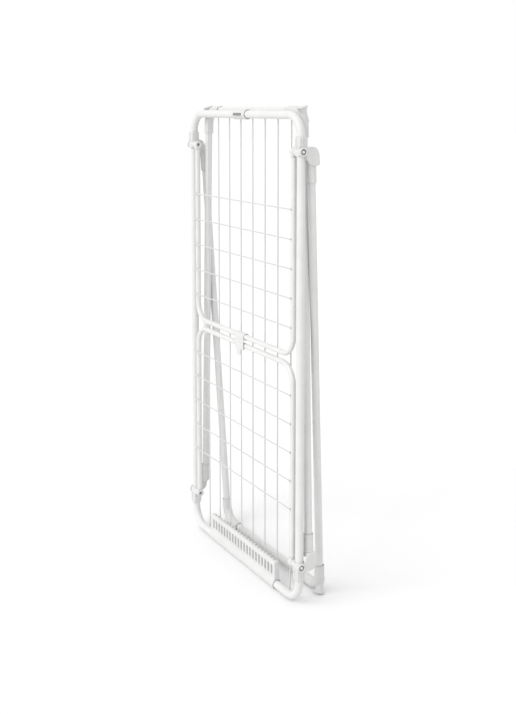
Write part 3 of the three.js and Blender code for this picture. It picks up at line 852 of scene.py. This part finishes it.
def foot_field(x, y, z):
    """Left foot: a bent sleeve over the tube's corner, with a flared bell that stands on the floor."""
    sleeve_radius, mouth_radius, mouth_depth = 11.6, 10.4, 1.8
    spot = (x, y, z)
    corner = np.array(on_leg(LEG_LENGTH))
    sleeve = bent_path(spot, leg_path(LEG_LENGTH - 90, 100)) - sleeve_radius
    sleeve = common(sleeve, z + (LEG_LENGTH - SLEEVE_UP), 0.8)
    sleeve = common(sleeve, x - (corner[0] + SLEEVE_ALONG), 0.8)
    axis = np.array((0, -math.sin(FOOT_TILT), -math.cos(FOOT_TILT)))
    start = corner - axis * BELL_ROOT
    rel = [spot[i] - start[i] for i in range(3)]
    along = sum(rel[i] * axis[i] for i in range(3))
    off = np.sqrt(np.maximum(sum(r * r for r in rel) - along**2, 0))
    shape = joined(sleeve, outline(off, along, BELL), 2.6)
    shape = common(shape, along - (BELL_ROOT + BELL_REACH), 0.8)
    tube_line = bent_path(spot, leg_path(LEG_LENGTH - 110, 130))
    ends = np.minimum(np.abs(z + LEG_LENGTH - SLEEVE_UP), np.abs(x - corner[0] - SLEEVE_ALONG)) - mouth_depth
    shape = without(shape, common(tube_line - mouth_radius, ends, 0.2), 0.4)
    return without(shape, tube_line - LEG_BORE, 0.5)


def bracket_field(x, y, z):
    """Left upper bracket about its pin: a collar, a squared and grooved upper part and an inboard boss."""
    low, high, groove_half = -10, 33, 1.15
    x = x + SIDE_X
    spot = (x, y, z)
    tube = np.sqrt(x * x + (y - PIVOT_TO_TUBE) ** 2)
    collar = bar(spot, (0, PIVOT_TO_TUBE, low), (0, PIVOT_TO_TUBE, high), COLLAR, 1.6)
    pad = brick(spot, (-11.1, -8.9, 9), (11.3, 12.6, high), 4.5)
    apron = brick(spot, (-9.5, -8.9, -9), (11.3, 2, 15), 3.5)
    shape = joined(collar, joined(pad, apron, 2.0), 0.8)
    boss = bar(spot, (-COLLAR, 0, 0), (19.3, 0, 0), 8.5, 1.0)
    shape = joined(shape, boss, 2.5)
    for offset in (-5.4, 0, 5.4):
        beside, before = np.abs(y - PIVOT_TO_TUBE - offset), np.abs(x - offset)
        outboard = common(common(beside - groove_half, x + 10.6, 0.4), 14 - z, 1.5)
        front = common(common(before - groove_half, y + 8.1, 0.4), 4 - z, 1.5)
        shape = without(without(shape, outboard, 0.5), front, 0.5)
    shape = without(shape, tube - FRAME_BORE, 0.5)
    pin = np.sqrt(y * y + z * z)
    return without(shape, pin - PIN_BORE, 0.5)


def eye_field(x, y, z):
    """Left wing eye: a ring on the pin and a socket for the wing's tube."""
    ring_radius, ring_half, socket_radius, socket_end, floor = 9.0, 6.4, 8.4, -30, -12
    x = x + WING_X
    spot = (x, y, z)
    ring = bar(spot, (-ring_half, 0, 0), (ring_half, 0, 0), ring_radius, 1.4)
    socket = bar(spot, (0, 0, -1), (0, 0, socket_end), socket_radius, 0.8)
    socket = common(socket, np.maximum(np.abs(x) - ring_half, floor - z), 0.8)
    shape = joined(ring, socket, 1.5)
    shape = without(shape, bar(spot, (0, 0, floor), (0, 0, 2 * socket_end), WING_BORE, 0.2), 0.5)
    off = np.sqrt(y * y + z * z)
    shape = without(shape, off - PIN_BORE, 0.5)
    return without(shape, common(off - 4.4, 4.9 - x, 0.3), 0.6)


CATCH_LEFT, CATCH_RIGHT, CATCH_ARM = -38.0, 27.0, 18.0


def catch_field(x, y, z):
    """The catch on the top bar: a sleeve, a pad for the badge and an arm under leg B's foot bar."""
    arm_depth, arm_gap, lip_rise, mouth_radius, mouth_depth = 2.3, 9.3, 3, 10.7, 2.0
    near = 60  # wires further out than this miss the sleeve
    leg_z = LOWER.z / MM + LEG_LENGTH - TOP_BAR.z
    leg_y = UPPER.y / MM + LEG_DEPTH - TOP_BAR.y
    y, z = y - TOP_BAR.y, z - TOP_BAR.z
    spot = (x, y, z)
    arm_top, arm_rear = leg_z - arm_gap, leg_y + arm_gap + arm_depth
    sleeve = bar(spot, (CATCH_LEFT, 0, 0), (CATCH_RIGHT, 0, 0), 12.1, 1.4)
    pad = brick(spot, (-27, -12.9, -4.1), (19, -6, 4.1), 0.9)
    arm = brick(spot, (-CATCH_ARM, 6, arm_top - arm_depth), (CATCH_ARM, arm_rear, arm_top), 0.8)
    lip_low = (-CATCH_ARM, leg_y + arm_gap, arm_top - arm_depth)
    lip = brick(spot, lip_low, (CATCH_ARM, arm_rear, arm_top + lip_rise), 0.8)
    shape = joined(joined(sleeve, pad, 1.2), joined(arm, lip, 1.0), 2.0)
    for i in range(WIRE_COUNT):
        wire = (i - (WIRE_COUNT - 1) / 2) * WIRE_PITCH
        if abs(wire) < near:
            shape = without(shape, brick(spot, (wire - 1.9, 9.4, -19), (wire + 1.9, 19, 19), 0.3), 0.4)
    off = np.sqrt(y * y + z * z)
    ends = np.minimum(np.abs(x - CATCH_LEFT), np.abs(x - CATCH_RIGHT)) - mouth_depth
    shape = without(shape, common(off - mouth_radius, ends, 0.2), 0.4)
    return without(shape, off - FRAME_BORE, 0.5)


CLIP_HALF = 21.0
CLIP_WALL = 2.4
BAR_GAP = 22.0  # between the two wings' end bars


def clip_field(x, y, z):
    """The lock clip: a sleeve on the upper bar, a plate that hooks under the lower bar, and a tongue."""
    outer, hook, tip = WING_BORE + CLIP_WALL, -BAR_GAP - WING_BORE, -45
    spot = (x, y, z)
    sleeve = bar(spot, (-CLIP_HALF, 0, 0), (CLIP_HALF, 0, 0), outer, 1.4)
    front = [
        (-outer, 0), (-outer, hook - CLIP_WALL), (-outer / 4, hook - CLIP_WALL), (-outer / 4, hook),
        (-outer / 2, hook), (-WING_BORE, hook + 2.5), (-WING_BORE, -0.6 * outer), (0, -0.6 * outer), (0, 0),
    ]
    body = plate(outline(y, z, front), x, -CLIP_HALF, CLIP_HALF, 1.3)
    side = [(-outer, -BAR_GAP), (-outer - CLIP_WALL, tip), (-outer, tip), (-outer + CLIP_WALL, hook)]
    width = 9.0 + np.clip((z - tip) / 16, 0, 1) * 3.0
    tongue = common(outline(y, z, side), np.abs(x) - width, 1.2)
    shape = joined(joined(sleeve, body, 1.2), tongue, 2.0)
    return without(shape, np.sqrt(y * y + z * z) - WING_BORE, 0.5)


COMB_PITCH = 15.2
COMB_CELLS = 21
COMB_HALF = 167.0
COMB_STEP = COMB_PITCH / 15
COMB_TOP = 55.5
SKIRT = 11.8
COMB_HALF_OUTLINE = [
    (5, -SKIRT), (7.6, -10.4), (0.78 * SKIRT, -0.63 * SKIRT), (10.9, -4.6), (SKIRT, -0.13 * SKIRT),
    (SKIRT, 1.4), (0.96 * SKIRT, 0.34 * SKIRT), (10.3, 7.2), (0.72 * SKIRT, 0.85 * SKIRT), (7.1, 12.6),
    (6.5, 1.3 * SKIRT), (6.5, 52.4), (5.9, 54.4), (4.5, COMB_TOP),
]
COMB_OUTLINE = COMB_HALF_OUTLINE + [(-u, v) for u, v in reversed(COMB_HALF_OUTLINE)]


def comb_field(x, y, z):
    """The comb about the bottom bar's axis: a skirt round the bar and a blade with slots."""
    slot_middle, slot_straight, slot_flat, slot_round = 32.2, 9.2, 1.2, 3.0
    mouth_radius, mouth_depth = 10.5, 1.8
    body = outline(y, z, COMB_OUTLINE)
    body = common(body, np.abs(x) - COMB_HALF, 1.4)
    nearest = np.clip(np.round(x / COMB_PITCH), -(COMB_CELLS // 2), COMB_CELLS // 2) * COMB_PITCH
    across = np.abs(x - nearest)
    beside, above = np.maximum(across - slot_flat, 0), np.maximum(np.abs(z - slot_middle) - slot_straight, 0)
    body = without(body, np.sqrt(beside**2 + above**2) - slot_round, 1.8)
    notch = common(common(across - 4.2, 20 - z, 1.0), 0.7 - y, 1.0)
    body = without(body, notch, 1.2)
    off = np.sqrt(y * y + z * z)
    body = without(body, common(off - mouth_radius, COMB_HALF - mouth_depth - np.abs(x), 0.2), 0.3)
    body = without(body, off - FRAME_BORE, 0.6)
    return without(body, common(np.abs(y - 7) - 1.5, z + 4.7, 0.5), 0.5)


def comb_skin():
    """One open cell and the left solid end, on one grid so that their seams meet."""
    edge = -(COMB_CELLS / 2) * COMB_PITCH
    low, high = (-SKIRT, -SKIRT), (SKIRT, COMB_TOP)
    columns = math.ceil((COMB_HALF + edge) / COMB_STEP) + 2
    start, seam = edge - COMB_STEP / 2 - columns * COMB_STEP, edge + COMB_STEP / 2
    end = net(comb_field, (start, *low), (seam, *high), COMB_STEP, open_x=True)
    first, last = edge - COMB_STEP / 2, edge + COMB_PITCH + COMB_STEP / 2
    cell = net(comb_field, (first, *low), (last, *high), COMB_STEP, open_x=True)
    return cell, end


# ---- Building ------------------------------------------------------------------------------------


def placed(thing, body, nodes):
    """Rides a piece on its body in place of CAD nodes."""
    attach(thing, body)
    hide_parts(*nodes)
    return thing


def tube(name, corners, diameter, bend, finish, body, nodes, place=None, closed=False):
    """A swept tube in place of CAD nodes. The diameter and bend are metres."""
    sizes = bpy.context.scene.airer_sizes
    corners = [Vector(c) * MM for c in corners]
    if place is not None:
        corners = [place @ c for c in corners]
    tree = bpy.data.node_groups.get("Bent tube") or tube_tree()
    values = {
        "Radius": diameter / 2, "Bend radius": bend, "Bend steps": sizes.bend_steps,
        "Sides": sizes.tube_sides, "Material": finish_called(finish),
    }
    return placed(grown(name, polyline(name, corners, closed), tree, values), body, nodes)


def wires(name, start, end, count, pitch, beads, bead_size, body, nodes):
    """A row of welded wires in place of CAD nodes. All lengths are metres."""
    sizes = bpy.context.scene.airer_sizes
    points, girths = round_ended(start, end, sizes.wire / 2)
    tree = bpy.data.node_groups.get("Welded wires") or wire_row_tree()
    values = {
        "Count": count, "Pitch": pitch, "Radius": sizes.wire / 2, "Sides": 16,
        "First bead": beads[0], "Second bead": beads[1], "Bead size": bead_size,
        "Material": finish_called("coating_wires"),
    }
    return placed(grown(name, polyline(name, points, girths=girths), tree, values), body, nodes)


def turned(name, profile, closed=False, sides=28):
    """A profile of (radius, place) pairs in millimetres, turned about the x axis."""
    rings, vertices, faces = [], [], []
    for radius, x in profile:
        if radius == 0:
            rings.append([len(vertices)] * sides)
            vertices.append((x * MM, 0, 0))
            continue
        rings.append(list(range(len(vertices), len(vertices) + sides)))
        for k in range(sides):
            a = 2 * math.pi * k / sides
            vertices.append((x * MM, radius * math.cos(a) * MM, radius * math.sin(a) * MM))
    pairs = list(zip(rings, rings[1:]))
    if closed:
        pairs.append((rings[-1], rings[0]))
    for first, second in pairs:
        for k in range(sides):
            n = (k + 1) % sides
            face = [first[k], second[k], second[n], first[n]]
            faces.append(list(dict.fromkeys(face)))
    mesh = bpy.data.meshes.new(name + "_turned")
    mesh.from_pydata(vertices, [], faces)
    outward(mesh)
    return mesh


def outward(mesh):
    """Turns every face of a closed mesh outwards."""
    work = bmesh.new()
    work.from_mesh(mesh)
    bmesh.ops.recalc_face_normals(work, faces=work.faces)
    work.to_mesh(mesh)
    work.free()


class AIRER_OT_frame(bpy.types.Operator):
    """Make the main frame's bent tube and dress the plug inside it"""

    bl_idname = "airer.frame"
    bl_label = "Frame tube"

    def execute(self, context):
        sizes = context.scene.airer_sizes
        middle, top, bottom = TOP_BAR.y, TOP_BAR.z, BOTTOM_BAR.z
        corners = [
            (-SIDE_X, middle, top), (SIDE_X, middle, top),
            (SIDE_X, middle, bottom), (-SIDE_X, middle, bottom),
        ]
        tube("frame_tube_coated", corners, sizes.frame_tube, sizes.frame_bend, "coating_frame", "frame",
             ["main_frame"], closed=True)
        plug = frame["nodes"]["frame_joint_plug"]
        plug.data.materials.clear()
        plug.data.materials.append(finish_called("zinc_rivets"))
        return {"FINISHED"}


class AIRER_OT_deck(bpy.types.Operator):
    """Make the deck wires welded behind the end bars"""

    bl_idname = "airer.deck"
    bl_label = "Deck wires"

    def execute(self, context):
        sizes = context.scene.airer_sizes
        low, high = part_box("deck_wire_1")
        first_x, depth = (low.x + high.x) / 2, (low.y + high.y) / 2
        contact = depth - sizes.wire / 2
        wires(
            "deck_wires_welded", (first_x, depth, low.z), (first_x, depth, high.z), WIRE_COUNT,
            (WIRE_PITCH * MM, 0, 0),
            [(first_x, contact, BOTTOM_BAR.z * MM), (first_x, contact, TOP_BAR.z * MM)],
            (sizes.bead, 1.3 * MM, 0.8 * sizes.bead), "frame",
            [f"deck_wire_{i + 1}" for i in range(WIRE_COUNT)],
        )
        return {"FINISHED"}


class AIRER_OT_legs(bpy.types.Operator):
    """Make both legs: tubes, hinge mouldings and feet"""

    bl_idname = "airer.legs"
    bl_label = "Legs"

    def execute(self, context):
        sizes = context.scene.airer_sizes
        hinge = net(hinge_field, (-SIDE_X - 16.2, -11, -71), (-SIDE_X + 16.5, 42.2, 11), 0.8)
        corner = on_leg(LEG_LENGTH)
        foot = net(
            foot_field, (corner[0] - 14, LEG_DEPTH - 18, -LEG_LENGTH - 15),
            (corner[0] + 67, LEG_DEPTH + 15, -LEG_LENGTH + 60), 0.9,
        )
        for letter, place in LEG_PLACES.items():
            body = f"leg_{letter}"
            top = on_leg(SOCKET_FLOOR + TUBE_GAP)
            run = [top, corner, (-corner[0], *corner[1:]), (-top[0], *top[1:])]
            tube(body + "_tube_coated", run, sizes.leg_tube, sizes.leg_bend, "coating_legs", body,
                 [body + "_tube"], place)
            for side in SIDES:
                spot = sided(place, side)
                moulding(f"{body}_hinge_moulding_{side}", hinge, spot, "plastic_hinges", body,
                         f"{body}_hinge_{side}")
                moulding(f"{body}_foot_moulding_{side}", foot, spot, "plastic_feet_painted_shade", body,
                         f"{body}_foot_{side}")
        return {"FINISHED"}


class AIRER_OT_wings(bpy.types.Operator):
    """Make both wings: tubes, welded rails and eyes"""

    bl_idname = "airer.wings"
    bl_label = "Wings"

    def execute(self, context):
        sizes = context.scene.airer_sizes
        eye = net(eye_field, (-WING_X - 9, -9.5, -31), (-WING_X + 9, 9.5, 9.5), 0.75)
        for which, place in PIVOT_PLACES.items():
            body = f"wing_{which}"
            ends = [(-WING_X, 0, WING_TOP), (WING_X, 0, WING_TOP)]
            run = [ends[0], (-WING_X, 0, -WING_LENGTH), (WING_X, 0, -WING_LENGTH), ends[1]]
            tube(body + "_tube_coated", run, sizes.wing_tube, sizes.wing_bend, "coating_wings", body,
                 [body + "_tube"], place)
            rails = [f"{body}_rail_{i + 1}" for i in range(RAIL_COUNT)]
            low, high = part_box(rails[0])
            depth, height = (low.y + high.y) / 2, (low.z + high.z) / 2
            contact = depth + sizes.wire / 2
            wires(
                body + "_rails_welded", (low.x, depth, height), (high.x, depth, height), RAIL_COUNT,
                (0, 0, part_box(rails[1])[0].z - low.z),
                [(-WING_X * MM, contact, height), (WING_X * MM, contact, height)],
                (0.8 * sizes.bead, 1.2 * MM, sizes.bead), body, rails,
            )
            for side in SIDES:
                moulding(f"{body}_eye_moulding_{side}", eye, sided(place, side), "plastic_hinges", body,
                         f"{body}_eye_{side}")
        return {"FINISHED"}


class AIRER_OT_brackets(bpy.types.Operator):
    """Make the four grooved brackets on the frame's sides"""

    bl_idname = "airer.brackets"
    bl_label = "Brackets"

    def execute(self, context):
        skin = net(bracket_field, (-SIDE_X - 12.5, -10, -10.5), (-SIDE_X + 20, 15, 33.5), 0.7)
        for which, place in PIVOT_PLACES.items():
            for side in SIDES:
                moulding(f"{which}_bracket_moulding_{side}", skin, sided(place, side), "plastic_brackets",
                         "frame", f"{which}_bracket_{side}")
        return {"FINISHED"}


class AIRER_OT_pivots(bpy.types.Operator):
    """Make the rivets and washers at the four pivots"""

    bl_idname = "airer.pivots"
    bl_label = "Rivets and washers"

    def execute(self, context):
        outer, inner = CHEEK_OUTER, -WING_X
        # Profiles as radius and place across, from the outside inwards.
        rivet = [
            (0, outer - 0.9), (1.6, outer - 0.75), (2.8, outer - 0.4), (3.5, outer + 0.1), (3.7, outer + 0.7),
            (3.7, outer + 1.2), (2.8, outer + 1.2), (2.8, inner + 3.0), (2.4, inner + 3.3), (0, inner + 3.4),
        ]
        # The washer rings sit in the eyes' recesses round the rivet heads. Their dark colour is partly
        # painted shade for those recesses.
        washer = [
            (3.75, outer + 0.7), (5.4, outer + 0.9), (5.9, outer + 0.75), (5.9, outer + 1.25),
            (3.75, outer + 1.25),
        ]
        inner = inner + 3.5
        # The plugs close the pin holes at the eyes' inboard ends. Their dark colour is partly painted shade
        # for those holes.
        plug = [(0, inner + 1.1), (2.9, inner + 1.1), (3.2, inner + 0.8), (3.2, inner), (0, inner)]
        tree = pivot_row_tree()
        pins = [f"{level}_pin_{side}" for level in ("upper", "lower") for side in SIDES]
        rows = (
            ("pivot_rivets", turned("rivet", rivet), "zinc_rivets", pins),
            ("pivot_washers", turned("washer", washer, closed=True), "dark_washers_and_painted_shade", []),
            ("pivot_plugs", turned("plug", plug), "dark_washers_and_painted_shade", []),
        )
        for name, mesh, finish, nodes in rows:
            values = {"Count": 2, "Span": UPPER - LOWER, "Start": LOWER, "Material": finish_called(finish)}
            thing = grown(name, mesh, tree, values)
            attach(thing, "frame")
            if nodes:
                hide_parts(*nodes)
        return {"FINISHED"}


class AIRER_OT_fittings(bpy.types.Operator):
    """Make the comb, the catch with its badge, and the lock clip"""

    bl_idname = "airer.fittings"
    bl_label = "Comb, catch and clip"

    def execute(self, context):
        self.comb()
        low = (CATCH_LEFT - 1, TOP_BAR.y - 14, TOP_BAR.z - 13)
        high = (CATCH_RIGHT + 1, TOP_BAR.y + 40, TOP_BAR.z + 13)
        catch = net(catch_field, low, high, 0.8)
        moulding("leg_catch_moulding", catch, Matrix.Identity(4), "plastic_fittings", "frame", "leg_catch")
        self.badge()
        clip = net(clip_field, (-CLIP_HALF - 1, -12.5, -46), (CLIP_HALF + 1, 10, 10), 0.7)
        moulding("lock_clip_moulding", clip, Matrix.Translation(CLIP_PIVOT), "plastic_fittings", "lock_clip",
                 "lock_clip")
        return {"FINISHED"}

    def comb(self):
        (cell, cell_faces), (end, end_faces) = comb_skin()
        other = end * np.array((-1, 1, 1))
        vertices = np.concatenate([cell, end, other]) + np.array(BOTTOM_BAR)
        faces = np.concatenate(
            [cell_faces, end_faces + len(cell), end_faces[:, ::-1] + len(cell) + len(end)]
        )
        mesh = mesh_of("comb_parts", vertices, faces)
        flags = np.arange(len(vertices)) < len(cell)
        mesh.attributes.new("cell", "BOOLEAN", "POINT").data.foreach_set("value", flags)
        thing = grown(
            "comb_moulding", mesh, comb_tree(),
            {"Count": COMB_CELLS, "Pitch": COMB_PITCH * MM, "Material": finish_called("plastic_fittings")},
        )
        smoothed(thing.data, MOULDED_CREASE)
        placed(thing, "frame", ["small_item_comb"])

    def badge(self):
        low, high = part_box("blank_badge")

        def field(x, y, z):
            return brick((x, y, z), low / MM, high / MM, 0.5)

        skin = net(field, low / MM, high / MM, 0.4)
        moulding("badge_plate", skin, Matrix.Identity(4), "dark_badge", "frame", "blank_badge")


class AIRER_OT_stage(bpy.types.Operator):
    """Make the floor, the surround, the key light and the camera"""

    bl_idname = "airer.stage"
    bl_label = "Stage"

    def execute(self, context):
        stage = context.scene.airer_stage
        half = stage.floor_reach
        mesh = bpy.data.meshes.new("floor")
        corners = [(-half, -half, 0), (half, -half, 0), (half, half, 0), (-half, half, 0)]
        mesh.from_pydata(corners, [], [(0, 1, 2, 3)])
        mesh.materials.append(studio_floor())
        floor = bpy.data.objects.new("floor", mesh)
        context.scene.collection.objects.link(floor)
        self.surround(context, stage)
        self.light(context, stage)
        self.camera(context, stage)
        return {"FINISHED"}

    def surround(self, context, stage):
        world = bpy.data.worlds.new("surround")
        world.use_nodes = True
        background = world.node_tree.nodes["Background"]
        background.inputs["Color"].default_value = (1, 1, 1, 1)
        background.inputs["Strength"].default_value = stage.sky
        context.scene.world = world
        context.scene.view_settings.view_transform = "Standard"

    def light(self, context, stage):
        data = bpy.data.lights.new("key", "SUN")
        data.energy = stage.key
        data.angle = stage.key_angle
        lamp = bpy.data.objects.new("key", data)
        lamp.rotation_euler = (-Vector(stage.key_place)).to_track_quat("-Z", "Y").to_euler()
        context.scene.collection.objects.link(lamp)

    def camera(self, context, stage):
        data = bpy.data.cameras.new("camera")
        data.lens = stage.lens
        data.sensor_width = 36
        data.shift_y = stage.rise
        camera = bpy.data.objects.new("camera", data)
        camera.location = stage.camera_place
        turn, dip = stage.camera_turn, stage.camera_dip
        aim = Vector((-math.sin(turn) * math.cos(dip), math.cos(turn) * math.cos(dip), -math.sin(dip)))
        camera.rotation_euler = aim.to_track_quat("-Z", "Y").to_euler()
        context.scene.collection.objects.link(camera)
        context.scene.camera = camera


OPERATORS = (
    AIRER_OT_frame,
    AIRER_OT_deck,
    AIRER_OT_legs,
    AIRER_OT_wings,
    AIRER_OT_brackets,
    AIRER_OT_pivots,
    AIRER_OT_fittings,
    AIRER_OT_stage,
)


class AIRER_PT_panel(bpy.types.Panel):
    """Lists the airer's settings and steps"""

    bl_idname = "AIRER_PT_panel"
    bl_label = "Folding airer"
    bl_space_type = "VIEW_3D"
    bl_region_type = "UI"
    bl_category = "Airer"

    def draw(self, context):
        column = self.layout.column()
        for group in (context.scene.airer_sizes, context.scene.airer_colours, context.scene.airer_stage):
            for name in group.__annotations__:
                column.prop(group, name)
        for operator in OPERATORS:
            column.operator(operator.bl_idname)


CLASSES = (AirerSizes, AirerColours, AirerStage, *OPERATORS, AIRER_PT_panel)


def register():
    for cls in CLASSES:
        bpy.utils.register_class(cls)
    bpy.types.Scene.airer_sizes = bpy.props.PointerProperty(type=AirerSizes)
    bpy.types.Scene.airer_colours = bpy.props.PointerProperty(type=AirerColours)
    bpy.types.Scene.airer_stage = bpy.props.PointerProperty(type=AirerStage)


def unregister():
    del bpy.types.Scene.airer_stage
    del bpy.types.Scene.airer_colours
    del bpy.types.Scene.airer_sizes
    for cls in reversed(CLASSES):
        bpy.utils.unregister_class(cls)


def main():
    register()
    for operator in OPERATORS:
        area, name = operator.bl_idname.split(".")
        getattr(getattr(bpy.ops, area), name)()


if __name__ == "__main__":
    main()
